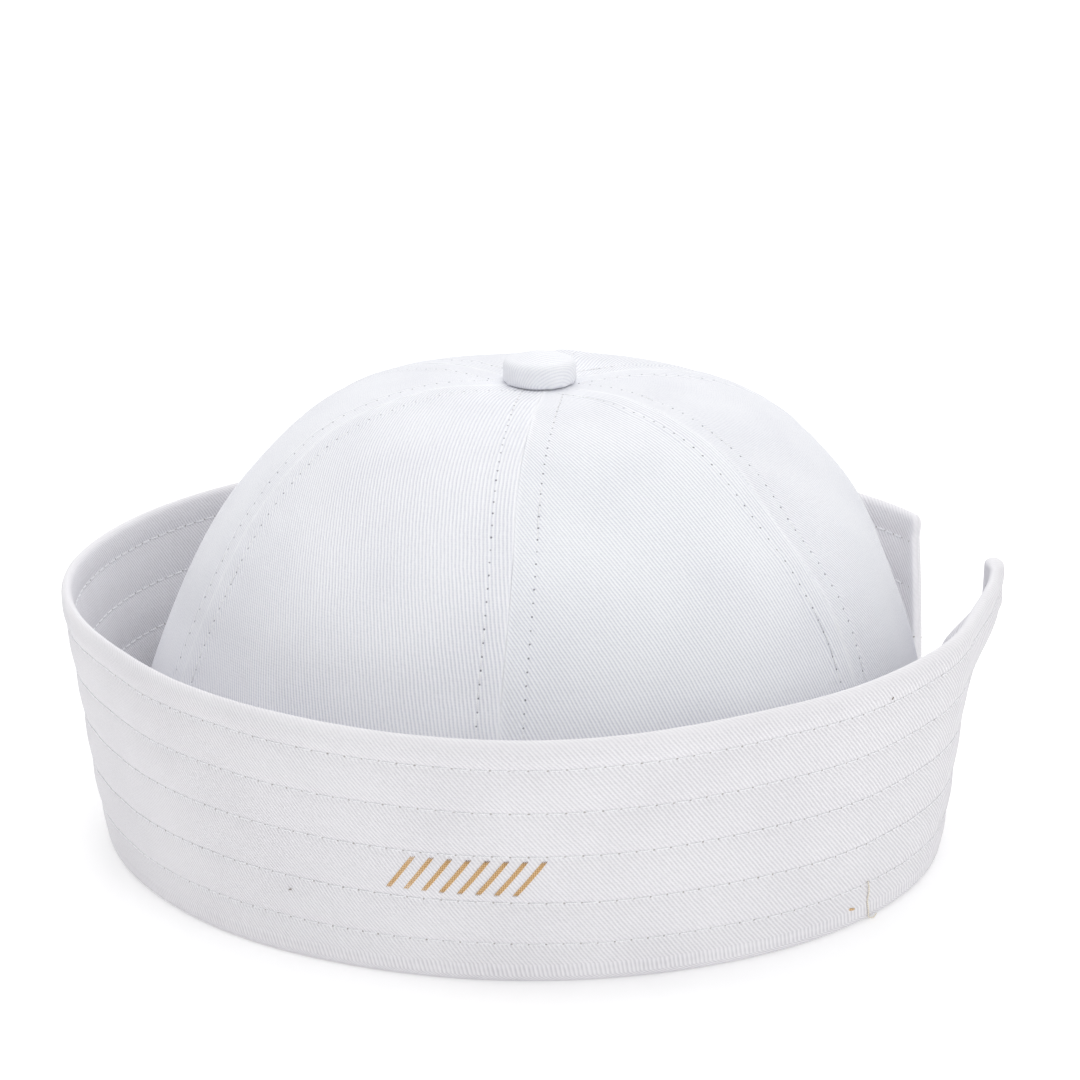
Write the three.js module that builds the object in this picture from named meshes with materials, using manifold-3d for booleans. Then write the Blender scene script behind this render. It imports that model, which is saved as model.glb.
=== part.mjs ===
// A sailor cap: a domed crown sewn from six panels with a covered button on top, and a quilted
// cuff turned up round its base and split at one side. Millimetres, +Z up, the front faces -Y.
// Azimuths are degrees from the front, growing towards +X.
import * as THREE from 'three';
import { mergeVertices } from 'three/addons/utils/BufferGeometryUtils.js';
import Module from 'manifold-3d';

const wasm = await Module();
wasm.setup();

// ---- Driving dimensions ----
const headGirth = 583;          // inside girth of the crown at its lower edge
const crownWall = 1.2;          // panel cloth
const seamWall = 1.8;           // panel cloth with the seam allowance folded under it
const seamAllowance = 6;        // width of the folded allowance beside each seam
const widestAllowance = 0.3;    // its widest share of a panel, near the narrow top
const allowanceStep = 0.02;     // share of the panel over which its edge thins out
const pieceGap = 0.3;           // clearance between neighbouring pieces
const cuffWall = 2.4;           // quilted cuff: two cloths and the interlining
const cuffSlant = 56.4;         // from the lower fold up to the top of the rim, along the wall
const foldRadius = 2;           // outer rounding of the lower fold
const footHeight = 2;           // thickness of the foot: the lower fold, turned in under the crown
const button = { radius: 7.95, skirt: 5.1, edge: 0.8, shoulder: 1.6 };
const planFade = 4;             // how fast the crown turns round above the base's uneven plan
const crownNod = 2.5;           // how far the crown's top sits forward of the base's centre
const crownHole = 2.5;          // the panels stop this far short of the very top, under the button

// The crown's outline above its lower edge: its radius at each height, and how far the soft cloth
// sags over to the right there.
const crownHeight = 100.9;
const crownOutline = [
  { height: 16, radius: 91.8, sag: 0.9 },
  { height: 31.4, radius: 89.2, sag: 1.9 },
  { height: 56.6, radius: 80.2, sag: 2.8 },
  { height: 78.1, radius: 67.4, sag: 3.7 },
  { height: 94.2, radius: 49.3, sag: 2.9 },
  { height: 101.0, radius: 25.8, sag: 2.1 },
  { height: crownHeight, radius: 8, sag: 1.9 },
];
const topSag = crownOutline.at(-1).sag;

// The button's shallow dome above its rounded shoulder: share of the radius, and rise above the skirt.
const buttonDome = [
  { share: 0.45, rise: 0.96 },
  { share: 0, rise: 1.44 },
];

// Each seam and the panel that starts at it. A seam wanders a little as it climbs: its azimuth at the
// lower edge, part way up and at the shoulder, and how far (mm) it has slid sideways at the button.
const seams = [
  { panel: 'left', low: -66.2, middle: -66.0, shoulder: -67.8, slide: -0.3 },
  { panel: 'right', low: -5.0, middle: -5.9, shoulder: -6.2, slide: 1.7 },
  { panel: 'side_right', low: 52.0, middle: 52.0, shoulder: 46.8, slide: 0.6 },
  { panel: 'back_right', low: 115.0, middle: 114.4, shoulder: 113.0, slide: 0.3 },
  { panel: 'back_left', low: 174.0, middle: 174.5, shoulder: 175.0, slide: -0.4 },
  { panel: 'side_left', low: 234.0, middle: 233.5, shoulder: 233.0, slide: 0.4 },
];
const seamSteps = { middle: 0.36, shoulder: 0.58, button: 0.9 };   // shares of the outline's length

// Soft dents pressed into the crown: place, depth and spread in mm (spread is the bell's width).
const dents = [
  { azimuth: 8, height: 92, depth: 0.9, spread: 10 },
  { azimuth: 28, height: 62, depth: 1.0, spread: 14 },
  { azimuth: -34, height: 52, depth: -0.6, spread: 16 },
  { azimuth: 84, height: 70, depth: 0.8, spread: 15 },
];

// The base's plan and the cuff's lean round the cap: rise is how far the base stands out beyond its
// mean radius, lean how far the cuff leans out from upright (degrees).
const roundRows = [
  { azimuth: -180, rise: 1.7, lean: 15.0 },
  { azimuth: -150, rise: 1.1, lean: 13.2 },
  { azimuth: -120, rise: -0.2, lean: 9.4 },
  { azimuth: -90, rise: -2.3, lean: 9.6 },
  { azimuth: -60, rise: -2.1, lean: 8.0 },
  { azimuth: -30, rise: 0.6, lean: 10.8 },
  { azimuth: 0, rise: 2.9, lean: 13.0 },
  { azimuth: 30, rise: 1.2, lean: 8.1 },
  { azimuth: 60, rise: -2.5, lean: 7.4 },
  { azimuth: 90, rise: -5.4, lean: 8.6 },
  { azimuth: 120, rise: -2.0, lean: 10.4 },
  { azimuth: 150, rise: 0.8, lean: 12.4 },
];

// The split: the azimuth where the cuff's two ends meet above the foot, and where each reaches the rim.
// halfFloor is half its width down there, and lean the cuff's lean that sets the ends' spread above.
const split = { bottom: 106.4, frontTop: 99.5, backTop: 118.2, floor: 4, halfFloor: 0.8, lean: 12 };

// The two ends' upper corners: each rounds off over this width and drop.
const frontCorner = { width: 5, drop: 5, bow: 1 };
const backCorner = { width: 2.5, drop: 5, bow: 1, tip: 0.5 };
const cutterReach = { through: 12.8, above: 10 };   // how far the split's cutter runs past the wall

// The cuff's front end curls outward by reach, over these azimuths and distances up the wall, and
// stands upright above that.
const endCurl = { reach: 6.8, from: 71, to: 102, low: 34, high: 47, upright: 0.15 };

// ---- Mesh fineness ----
const panelRows = 16;
const panelColumns = 10;
const cuffColumns = 90;
const wallSteps = 4;
const roundSteps = 4;
const buttonSides = 28;

const radians = THREE.MathUtils.degToRad;

// A place from its radius, azimuth (radians) and height.
const polar = (radius, azimuth, height) =>
  new THREE.Vector3(radius * Math.sin(azimuth), -radius * Math.cos(azimuth), height);

// ---- The base's plan ----
const innerRadius = headGirth / (2 * Math.PI);
const crownFootRadius = innerRadius + crownWall;
const cuffFootRadius = crownFootRadius + pieceGap + cuffWall;

// A value between the rows of a table round the cap, with smooth passing from row to row.
function roundTable(rows, key, azimuth) {
  const spacing = (2 * Math.PI) / rows.length;
  const place = (azimuth - radians(rows[0].azimuth)) / spacing;
  const first = Math.floor(place);
  const t = place - first;
  const value = (k) => rows[(((first + k) % rows.length) + rows.length) % rows.length][key];
  const [a, b, c, d] = [value(-1), value(0), value(1), value(2)];
  return b + 0.5 * t * (c - a + t * (2 * a - 5 * b + 4 * c - d + t * (3 * (b - c) + d - a)));
}

const planRise = (azimuth) => roundTable(roundRows, 'rise', azimuth);

// ---- Closed bodies from a grid of points ----
// outers[row][column] is a sheet's outer face and inners[row][column] its inner face.
function sheetSolid(outers, inners) {
  const rows = outers.length;
  const columns = outers[0].length;
  const points = [...outers.flat(), ...inners.flat()];
  const outer = (row, column) => row * columns + column;
  const inner = (row, column) => rows * columns + row * columns + column;
  const faces = [];
  const quad = (a, b, c, d) => faces.push(a, b, c, a, c, d);
  for (let row = 0; row < rows - 1; row++) {
    for (let column = 0; column < columns - 1; column++) {
      quad(outer(row, column), outer(row, column + 1), outer(row + 1, column + 1), outer(row + 1, column));
      quad(inner(row, column), inner(row + 1, column), inner(row + 1, column + 1), inner(row, column + 1));
    }
    quad(outer(row, 0), outer(row + 1, 0), inner(row + 1, 0), inner(row, 0));
    const last = columns - 1;
    quad(outer(row, last), inner(row, last), inner(row + 1, last), outer(row + 1, last));
  }
  for (let column = 0; column < columns - 1; column++) {
    const top = rows - 1;
    quad(outer(0, column), inner(0, column), inner(0, column + 1), outer(0, column + 1));
    quad(outer(top, column), outer(top, column + 1), inner(top, column + 1), inner(top, column));
  }
  return indexedGeometry(points, faces);
}

function indexedGeometry(points, faces) {
  const geometry = new THREE.BufferGeometry().setFromPoints(points);
  geometry.setIndex(faces);
  return geometry;
}

// A ring swept once round the cap: section(azimuth) gives the same number of points each time.
function ringSolid(section, columns) {
  const loops = Array.from({ length: columns }, (_, column) => section((column / columns) * 2 * Math.PI));
  const size = loops[0].length;
  const faces = [];
  for (let column = 0; column < columns; column++) {
    const here = column * size;
    const next = ((column + 1) % columns) * size;
    for (let k = 0; k < size; k++) {
      const l = (k + 1) % size;
      faces.push(here + k, next + k, next + l, here + k, next + l, here + l);
    }
  }
  return indexedGeometry(loops.flat(), faces);
}

function toManifold(geometry) {
  const bare = geometry.clone();
  bare.deleteAttribute('normal');
  bare.deleteAttribute('uv');
  const merged = mergeVertices(bare, 1e-4);
  return new wasm.Manifold(new wasm.Mesh({
    numProp: 3,
    vertProperties: new Float32Array(merged.attributes.position.array),
    triVerts: new Uint32Array(merged.index.array),
  }));
}

function fromManifold(solid) {
  const { vertProperties, triVerts } = solid.getMesh();
  const geometry = new THREE.BufferGeometry();
  geometry.setAttribute('position', new THREE.BufferAttribute(vertProperties, 3));
  geometry.setIndex([...triVerts]);
  return geometry;
}

// ---- The crown ----
// The outline as a curve: x is the radius, y the sag and z the height.
const crownCurve = new THREE.CatmullRomCurve3([
  new THREE.Vector3(crownFootRadius, 0, 0),
  ...crownOutline.map(({ height, radius, sag }) => new THREE.Vector3(radius, sag, height)),
  new THREE.Vector3(0, topSag, crownHeight),
]);

const bell = (distance, spread) => Math.exp(-((distance / spread) ** 2));

// How deep the dents press in at one place of the crown.
function dentDepth(radius, azimuth, height) {
  return dents.reduce((sum, dent) => {
    const turn = Math.atan2(Math.sin(azimuth - radians(dent.azimuth)), Math.cos(azimuth - radians(dent.azimuth)));
    return sum + dent.depth * bell(Math.hypot(turn * radius, height - dent.height), dent.spread);
  }, 0);
}

// A point of the crown at step 0..1 up its outline, sunk below the outer face by depth.
function crownPoint(step, azimuth, depth) {
  const at = crownCurve.getPointAt(step);
  const along = crownCurve.getTangentAt(step);
  const sunk = depth + dentDepth(at.x, azimuth, at.z);
  const radius = at.x + planRise(azimuth) * (at.x / crownFootRadius) ** planFade - along.z * sunk;
  const height = at.z + along.x * sunk;
  return polar(radius, azimuth, height).add(new THREE.Vector3(at.y, -crownNod * (at.z / crownHeight), 0));
}

// The seam's azimuth at step 0..1 up the outline, where the crown has this radius.
function seamAzimuth(seam, step, radius) {
  const { smoothstep } = THREE.MathUtils;
  const degrees = seam.low
    + (seam.middle - seam.low) * smoothstep(step, 0, seamSteps.middle)
    + (seam.shoulder - seam.middle) * smoothstep(step, seamSteps.middle, seamSteps.shoulder);
  return radians(degrees) + (seam.slide / radius) * smoothstep(step, seamSteps.shoulder, seamSteps.button);
}

const panelTop = 1 - crownHole / crownCurve.getLength();
const panelFoot = (footHeight + pieceGap) / crownCurve.getLength();

// One panel runs from its own seam to the next one round.
function panelGeometry(index) {
  const seam = seams[index];
  const next = seams[(index + 1) % seams.length];
  const outers = [];
  const inners = [];
  for (let row = 0; row <= panelRows; row++) {
    const step = panelFoot + (panelTop - panelFoot) * (row / panelRows);
    const radius = crownCurve.getPointAt(step).x;
    const halfGap = pieceGap / 2 / radius;
    const from = seamAzimuth(seam, step, radius) + halfGap;
    let to = seamAzimuth(next, step, radius) - halfGap;
    if (to < from) to += 2 * Math.PI;
    const width = (to - from) * radius;
    const edge = Math.min(seamAllowance / width, widestAllowance);
    const past = edge + allowanceStep;
    const across = [0, edge, past];
    const middle = panelColumns - across.length - 2;
    for (let k = 1; k <= middle; k++) across.push(past + (1 - 2 * past) * (k / (middle + 1)));
    across.push(1 - past, 1 - edge, 1);
    outers.push(across.map((share) => crownPoint(step, from + (to - from) * share, 0)));
    inners.push(across.map((share) => {
      const inAllowance = share <= edge || share >= 1 - edge;
      return crownPoint(step, from + (to - from) * share, inAllowance ? seamWall : crownWall);
    }));
  }
  return sheetSolid(outers, inners);
}

// ---- The cuff ----
// How far the front end has curled outward at this distance up the wall.
function curlAt(azimuth, distance) {
  const { reach, from, to, low, high, upright } = endCurl;
  const turn = THREE.MathUtils.radToDeg(azimuth > Math.PI ? azimuth - 2 * Math.PI : azimuth);
  if (turn > split.bottom) return 0;
  const curl = reach * THREE.MathUtils.smoothstep(distance, low, high) - upright * Math.max(0, distance - high);
  return curl * THREE.MathUtils.smoothstep(turn, from, to);
}

// The cuff's section at one azimuth: the foot, the outer wall, the rolled rim, the inner wall.
function cuffSection(azimuth) {
  const lean = radians(roundTable(roundRows, 'lean', azimuth));
  const foot = cuffFootRadius + planRise(azimuth);
  const rimRadius = cuffWall / 2;
  const up = new THREE.Vector2(Math.sin(lean), Math.cos(lean));
  const out = new THREE.Vector2(Math.cos(lean), -Math.sin(lean));
  const wall = (distance, depth) => new THREE.Vector2(foot + curlAt(azimuth, distance), 0)
    .addScaledVector(up, distance).addScaledVector(out, -depth);
  const footInner = innerRadius + planRise(azimuth);
  const points = [new THREE.Vector2(footInner, 0)];
  const foldCentre = wall(foldRadius, foldRadius);
  foldCentre.y = foldRadius;
  for (let k = 0; k <= roundSteps; k++) {
    const turn = -Math.PI / 2 + (Math.PI / 2 - lean) * (k / roundSteps);
    points.push(new THREE.Vector2(Math.cos(turn), Math.sin(turn)).multiplyScalar(foldRadius).add(foldCentre));
  }
  const first = 2 * foldRadius;
  const last = cuffSlant - rimRadius;
  for (let k = 0; k <= wallSteps; k++) points.push(wall(first + (last - first) * (k / wallSteps), 0));
  const rimCentre = wall(last, rimRadius);
  for (let k = 1; k < 2 * roundSteps; k++) {
    const turn = -lean + Math.PI * (k / (2 * roundSteps));
    points.push(new THREE.Vector2(Math.cos(turn), Math.sin(turn)).multiplyScalar(rimRadius).add(rimCentre));
  }
  for (let k = wallSteps; k >= 1; k--) points.push(wall(first + (last - first) * (k / wallSteps), cuffWall));
  points.push(new THREE.Vector2(foot - cuffWall, footHeight));
  points.push(new THREE.Vector2(footInner, footHeight));
  return points.map(({ x, y }) => polar(x, azimuth, y));
}

// What is cut out for the split: a wedge between the two ends, flared where their corners round off.
function splitCutter() {
  const middle = radians(split.bottom);
  const topRadius = cuffFootRadius + cuffSlant * Math.sin(radians(split.lean));
  const front = topRadius * (radians(split.frontTop) - middle);
  const back = topRadius * (radians(split.backTop) - middle);
  const top = cuffSlant + cutterReach.above;
  const outline = new THREE.Shape();
  outline.moveTo(-split.halfFloor, split.floor);
  outline.lineTo(front, cuffSlant - frontCorner.drop);
  outline.quadraticCurveTo(front, cuffSlant - frontCorner.bow, front - frontCorner.width, cuffSlant);
  outline.lineTo(front - frontCorner.width, top);
  outline.lineTo(back + backCorner.width, top);
  outline.lineTo(back + backCorner.width, cuffSlant - backCorner.tip);
  outline.quadraticCurveTo(back, cuffSlant - backCorner.bow, back - backCorner.tip, cuffSlant - backCorner.drop);
  outline.lineTo(split.halfFloor, split.floor);
  outline.closePath();
  const depth = 2 * cutterReach.through;
  const geometry = new THREE.ExtrudeGeometry(outline, { depth, bevelEnabled: false, curveSegments: 6 });
  // The outline's x runs round the cap and its y up the wall; the wedge is pushed out through the wall.
  const outward = new THREE.Vector3(Math.sin(middle), -Math.cos(middle), 0);
  const round = new THREE.Vector3(Math.cos(middle), Math.sin(middle), 0);
  const place = new THREE.Matrix4().makeBasis(round, new THREE.Vector3(0, 0, 1), outward);
  place.setPosition(outward.clone().multiplyScalar(cuffFootRadius - cutterReach.through));
  return geometry.applyMatrix4(place);
}

function cuffGeometry() {
  const band = toManifold(ringSolid(cuffSection, cuffColumns));
  return fromManifold(band.subtract(toManifold(splitCutter())));
}

// ---- The button ----
function buttonGeometry() {
  const { radius, skirt, edge, shoulder } = button;
  const profile = [new THREE.Vector2(0, 0), new THREE.Vector2(radius - edge, 0), new THREE.Vector2(radius, edge)];
  for (let k = 0; k <= 2 * roundSteps; k++) {
    const turn = (Math.PI / 2) * (k / (2 * roundSteps));
    profile.push(new THREE.Vector2(
      radius - shoulder + shoulder * Math.cos(turn),
      skirt - shoulder + shoulder * Math.sin(turn),
    ));
  }
  buttonDome.forEach(({ share, rise }) => profile.push(new THREE.Vector2(radius * share, skirt + rise)));
  return new THREE.LatheGeometry(profile, buttonSides).rotateX(Math.PI / 2);
}

// ---- The cap ----
const cap = new THREE.Group();

function addPiece(name, geometry, colour, roughness) {
  const piece = new THREE.Mesh(geometry, new THREE.MeshStandardMaterial({ color: colour, roughness, metalness: 0 }));
  piece.name = name;
  cap.add(piece);
  return piece;
}

seams.forEach(({ panel }, index) => addPiece(`crown_panel_${panel}`, panelGeometry(index), '#eeeff3', 0.9));
addPiece('cuff', cuffGeometry(), '#ecebec', 0.9);
addPiece('top_button', buttonGeometry(), '#e9eaee', 0.85)
  .position.set(topSag, -crownNod, crownHeight + pieceGap);

// The origin is the middle of the cap's box, on the surface that it rests on.
const box = new THREE.Box3().setFromObject(cap);
const middle = box.getCenter(new THREE.Vector3());
cap.position.set(-middle.x, -middle.y, -box.min.z);

export default cap;
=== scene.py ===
import math

import bmesh
import bpy
import numpy as np
from mathutils import Matrix, Vector


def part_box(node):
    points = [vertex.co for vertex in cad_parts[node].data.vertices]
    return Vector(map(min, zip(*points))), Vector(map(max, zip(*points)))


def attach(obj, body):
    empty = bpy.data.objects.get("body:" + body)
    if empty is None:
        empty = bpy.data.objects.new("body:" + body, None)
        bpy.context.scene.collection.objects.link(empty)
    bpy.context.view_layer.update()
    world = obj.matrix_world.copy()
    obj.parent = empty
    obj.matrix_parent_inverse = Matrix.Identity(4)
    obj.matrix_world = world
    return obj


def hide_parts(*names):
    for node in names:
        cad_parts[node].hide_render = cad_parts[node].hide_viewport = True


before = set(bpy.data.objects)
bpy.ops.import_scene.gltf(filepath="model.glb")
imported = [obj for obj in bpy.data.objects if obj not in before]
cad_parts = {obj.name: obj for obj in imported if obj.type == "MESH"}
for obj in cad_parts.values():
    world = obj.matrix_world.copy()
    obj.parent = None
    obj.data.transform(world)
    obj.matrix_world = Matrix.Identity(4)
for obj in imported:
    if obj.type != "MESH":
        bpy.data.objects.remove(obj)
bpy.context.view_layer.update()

mm = 0.001

# ---- Camera ----
# A long lens about 0.9 m in front of the cap and 0.3 m above the floor, tilted down towards it. The
# lens and the distance go together: a shorter lens from nearer by would frame the cap alike.
lens_length = 140
sensor_width = 36
camera_place = (1.5 * mm, -889.8 * mm, 318.3 * mm)
camera_tilt = 15.93               # degrees below level
camera_data = bpy.data.cameras.new("camera")
camera_data.lens = lens_length
camera_data.sensor_width = sensor_width
camera = bpy.data.objects.new("camera", camera_data)
camera.location = camera_place
camera.rotation_euler = (math.radians(90 - camera_tilt), 0, 0)
bpy.context.scene.collection.objects.link(camera)
bpy.context.scene.camera = camera


# ---- Floor ----
# A wide sweep of plain white paper under the cap, which is no part of it. It gives off a little light
# of its own, so that it stays an even white all round.
def srgb(code):
    """A hex colour as linear red, green, blue and alpha."""
    parts = [int(code[i:i + 2], 16) / 255 for i in (1, 3, 5)]
    return [c / 12.92 if c <= 0.04045 else ((c + 0.055) / 1.055) ** 2.4 for c in parts] + [1.0]


def add_node(tree, kind, settings=None, **inputs):
    """Adds a node with its settings; an input is a value, or a socket that it is linked to."""
    node = tree.nodes.new(kind)
    for name, value in (settings or {}).items():
        setattr(node, name, value)
    for name, value in inputs.items():
        key = int(name[2:]) if name.startswith("in") and name[2:].isdigit() else name.replace("_", " ")
        if isinstance(value, bpy.types.NodeSocket):
            tree.links.new(value, node.inputs[key])
        else:
            node.inputs[key].default_value = value
    return node


def new_material(name):
    """An empty material with a lone Principled shader on its output."""
    material = bpy.data.materials.new(name)
    material.use_nodes = True
    return material, material.node_tree, material.node_tree.nodes["Principled BSDF"]


def finish_object(name, mesh, material, smooth=True):
    """The mesh as an object at the origin with its material."""
    mesh.materials.append(material)
    mesh.polygons.foreach_set("use_smooth", [smooth] * len(mesh.polygons))
    piece = bpy.data.objects.new(name, mesh)
    bpy.context.scene.collection.objects.link(piece)
    return piece


# Matt white paper: an even near-white with no gloss.
paper, _, paper_shader = new_material("white paper")
paper_shader.inputs["Base Color"].default_value = srgb("#f8f8f8")
paper_shader.inputs["Roughness"].default_value = 0.9
paper_shader.inputs["Specular IOR Level"].default_value = 0.0
paper_shader.inputs["Emission Color"].default_value = srgb("#ffffff")
paper_shader.inputs["Emission Strength"].default_value = 0.22
floor_bm = bmesh.new()
bmesh.ops.create_grid(floor_bm, x_segments=1, y_segments=1, size=6.0)
floor_mesh = bpy.data.meshes.new("paper_sweep")
floor_bm.to_mesh(floor_mesh)
floor_bm.free()
floor = finish_object("paper_sweep", floor_mesh, paper, smooth=False)

# ---- Light ----
# A dim white room with four square softboxes: the strongest overhead, one in front, and weaker ones
# behind and at the left. They model the folds softly and cast no hard shadow.
world = bpy.data.worlds.new("white room")
world.use_nodes = True
world.node_tree.nodes["Background"].inputs["Color"].default_value = srgb("#ffffff")
world.node_tree.nodes["Background"].inputs["Strength"].default_value = 0.465
bpy.context.scene.world = world
bpy.context.scene.view_settings.view_transform = "Standard"


def add_softbox(name, place, aim, size, watts):
    """A square area light at place, turned towards aim."""
    light = bpy.data.lights.new(name, "AREA")
    light.size = size
    light.energy = watts
    lamp = bpy.data.objects.new(name, light)
    lamp.location = place
    lamp.rotation_euler = (Vector(aim) - Vector(place)).to_track_quat("-Z", "Y").to_euler()
    bpy.context.scene.collection.objects.link(lamp)


softboxes = [  # name, place, size and watts
    ("overhead softbox", (0.1, 0.2, 1.8), 1.8, 15.8),
    ("front softbox", (1.1, -1.95, 0.9), 1.6, 13.3),
    ("left softbox", (-1.6, 0.2, 1.2), 1.2, 5.8),
    ("back softbox", (0.2, 1.8, 1.2), 1.4, 9),
]
softbox_aim = (0, 0, 0.05)        # half way up the cap
for name, place, size, watts in softboxes:
    add_softbox(name, place, softbox_aim, size, watts)

# ---- Crown ----
# Six gores of white cotton twill, cut with the grain down their middles. Their edges are turned in,
# joined in a seam and topstitched on both sides, and the turned-in allowances lift the cloth there.
head_girth = 583 * mm
crown_wall = 1.2 * mm
foot_height = 2 * mm
crown_height = 100.9 * mm
crown_nod = 2.5 * mm
plan_fade = 4
inner_radius = head_girth / (2 * math.pi)
crown_foot_radius = inner_radius + crown_wall
crown_outline = [  # height, radius and sag to the right (mm), from the lower edge up
    (0, crown_foot_radius / mm, 0.0),
    (16, 91.8, 0.9),
    (31.4, 89.2, 1.9),
    (56.6, 80.2, 2.8),
    (78.1, 67.4, 3.7),
    (94.2, 49.3, 2.9),
    (101.0, 25.8, 2.1),
    (crown_height / mm, 8, 1.9),
    (crown_height / mm, 0, 1.9),
]
crown_dents = [  # azimuth (degrees), then height, depth and spread (mm)
    (8, 92, 0.9, 10),
    (28, 62, 1.0, 14),
    (-34, 52, -0.6, 16),
    (84, 70, 0.8, 15),
]
base_plan = [  # azimuth and the cuff's lean (degrees), and how far the base stands out there (mm)
    (-180, 15.0, 1.7),
    (-150, 13.2, 1.1),
    (-120, 9.4, -0.2),
    (-90, 9.6, -2.3),
    (-60, 8.0, -2.1),
    (-30, 10.8, 0.6),
    (0, 13.0, 2.9),
    (30, 8.1, 1.2),
    (60, 7.4, -2.5),
    (90, 8.6, -5.4),
    (120, 10.4, -2.0),
    (150, 12.4, 0.8),
]
crown_seams = [  # the gore that starts there; azimuths low, middle and at the shoulder; slide (mm)
    ("left", -66.2, -66.0, -67.8, -0.3),
    ("right", -5.0, -5.9, -6.2, 1.7),
    ("side_right", 52.0, 52.0, 46.8, 0.6),
    ("back_right", 115.0, 114.4, 113.0, 0.3),
    ("back_left", 174.0, 174.5, 175.0, -0.4),
    ("side_left", 234.0, 233.5, 233.0, 0.4),
]
seam_middle, seam_shoulder, seam_button = 0.36, 0.58, 0.9
button_low, button_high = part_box("top_button")
top_sag = crown_outline[-1][2] * mm
base_centre = Vector((
    (button_low[0] + button_high[0]) / 2 - top_sag,
    (button_low[1] + button_high[1]) / 2 + crown_nod,
    0,
))


def smoothstep(value, low, high):
    t = np.clip((value - low) / (high - low), 0, 1)
    return t * t * (3 - 2 * t)


def bell(distance, spread):
    return np.exp(-((distance / spread) ** 2))


def curve_through(points, per_span=60):
    """A centripetal Catmull-Rom line through the points, and the length along it at each of its own."""
    points = np.array(points, float)
    ends = [2 * points[0] - points[1], *points, 2 * points[-1] - points[-2]]
    line = []
    for a, b, c, d in zip(ends, ends[1:], ends[2:], ends[3:]):
        knots = np.cumsum([0] + [np.linalg.norm(q - p) ** 0.5 for p, q in ((a, b), (b, c), (c, d))])
        t = np.linspace(knots[1], knots[2], per_span, endpoint=False)[:, None]
        k0, k1, k2, k3 = knots
        ab = (k1 - t) / (k1 - k0) * a + (t - k0) / (k1 - k0) * b
        bc = (k2 - t) / (k2 - k1) * b + (t - k1) / (k2 - k1) * c
        cd = (k3 - t) / (k3 - k2) * c + (t - k2) / (k3 - k2) * d
        abc = (k2 - t) / (k2 - k0) * ab + (t - k0) / (k2 - k0) * bc
        bcd = (k3 - t) / (k3 - k1) * bc + (t - k1) / (k3 - k1) * cd
        line.append((k2 - t) / (k2 - k1) * abc + (t - k1) / (k2 - k1) * bcd)
    line = np.concatenate([*line, points[-1:]])
    return line, np.concatenate([[0], np.cumsum(np.linalg.norm(np.diff(line, axis=0), axis=1))])


outline_line, outline_along = curve_through(
    [(radius * mm, sag * mm, height * mm) for height, radius, sag in crown_outline])
outline_length = outline_along[-1]
outline_slope = np.gradient(outline_line, outline_along, axis=0)


def outline_at(step, table=outline_line):
    """A column of the crown's outline table at steps 0..1 of its length."""
    return np.stack([np.interp(step * outline_length, outline_along, table[:, k]) for k in range(3)], -1)


def round_value(column, azimuth):
    """A column of base_plan at these azimuths (radians), passing smoothly from row to row."""
    values = np.array([row[column] for row in base_plan], float)
    place = (azimuth - math.radians(base_plan[0][0])) / (2 * math.pi / len(values))
    first = np.floor(place).astype(int)
    t = place - first
    a, b, c, d = (values[(first + k) % len(values)] for k in (-1, 0, 1, 2))
    return b + 0.5 * t * (c - a + t * (2 * a - 5 * b + 4 * c - d + t * (3 * (b - c) + d - a)))


def softness(across, along, seed, wave):
    """Gentle uneven swelling, -1..1, that never repeats: a few sines of about this wavelength."""
    draw = np.random.default_rng(seed)
    total = 0
    for _ in range(7):
        turn = draw.uniform(0, math.pi)
        stretch = draw.uniform(0.7, 1.5)
        start = draw.uniform(0, 2 * math.pi)
        total = total + np.sin(
            (across * math.cos(turn) + along * math.sin(turn)) * 2 * math.pi / (wave * stretch) + start)
    return total / 4


def on_base(radius, azimuth, height):
    """Points at this radius, azimuth (radians from the front) and height over the cap's base."""
    across = radius * np.sin(azimuth) + base_centre.x
    back = base_centre.y - radius * np.cos(azimuth)
    return np.stack([across, back, height], -1)


def crown_point(step, azimuth, depth):
    """Points of the crown at steps up its outline, sunk by depth below its outer face."""
    at = outline_at(step)
    slope = outline_at(step, outline_slope)
    sunk = np.array(depth, float)
    for dent_azimuth, height, dent, spread in crown_dents:
        turn = np.angle(np.exp(1j * (azimuth - math.radians(dent_azimuth))))
        reach = np.hypot(turn * at[..., 0], at[..., 2] - height * mm)
        sunk = sunk + dent * mm * bell(reach, spread * mm)
    rise = round_value(2, azimuth) * mm * (at[..., 0] / crown_foot_radius) ** plan_fade
    radius = at[..., 0] + rise - slope[..., 2] * sunk
    points = on_base(radius, azimuth, at[..., 2] + slope[..., 0] * sunk)
    points[..., 0] += at[..., 1]
    points[..., 1] -= crown_nod * at[..., 2] / crown_height
    return points


def seam_azimuth(seam, step):
    """The azimuth (radians) of a row of crown_seams at steps up the outline."""
    _, low, middle, shoulder, slide = seam
    turned = low + (middle - low) * smoothstep(step, 0, seam_middle)
    turned = turned + (shoulder - middle) * smoothstep(step, seam_middle, seam_shoulder)
    radius = np.maximum(outline_at(step)[..., 0], mm)
    return np.radians(turned) + slide * mm / radius * smoothstep(step, seam_shoulder, seam_button)


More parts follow.
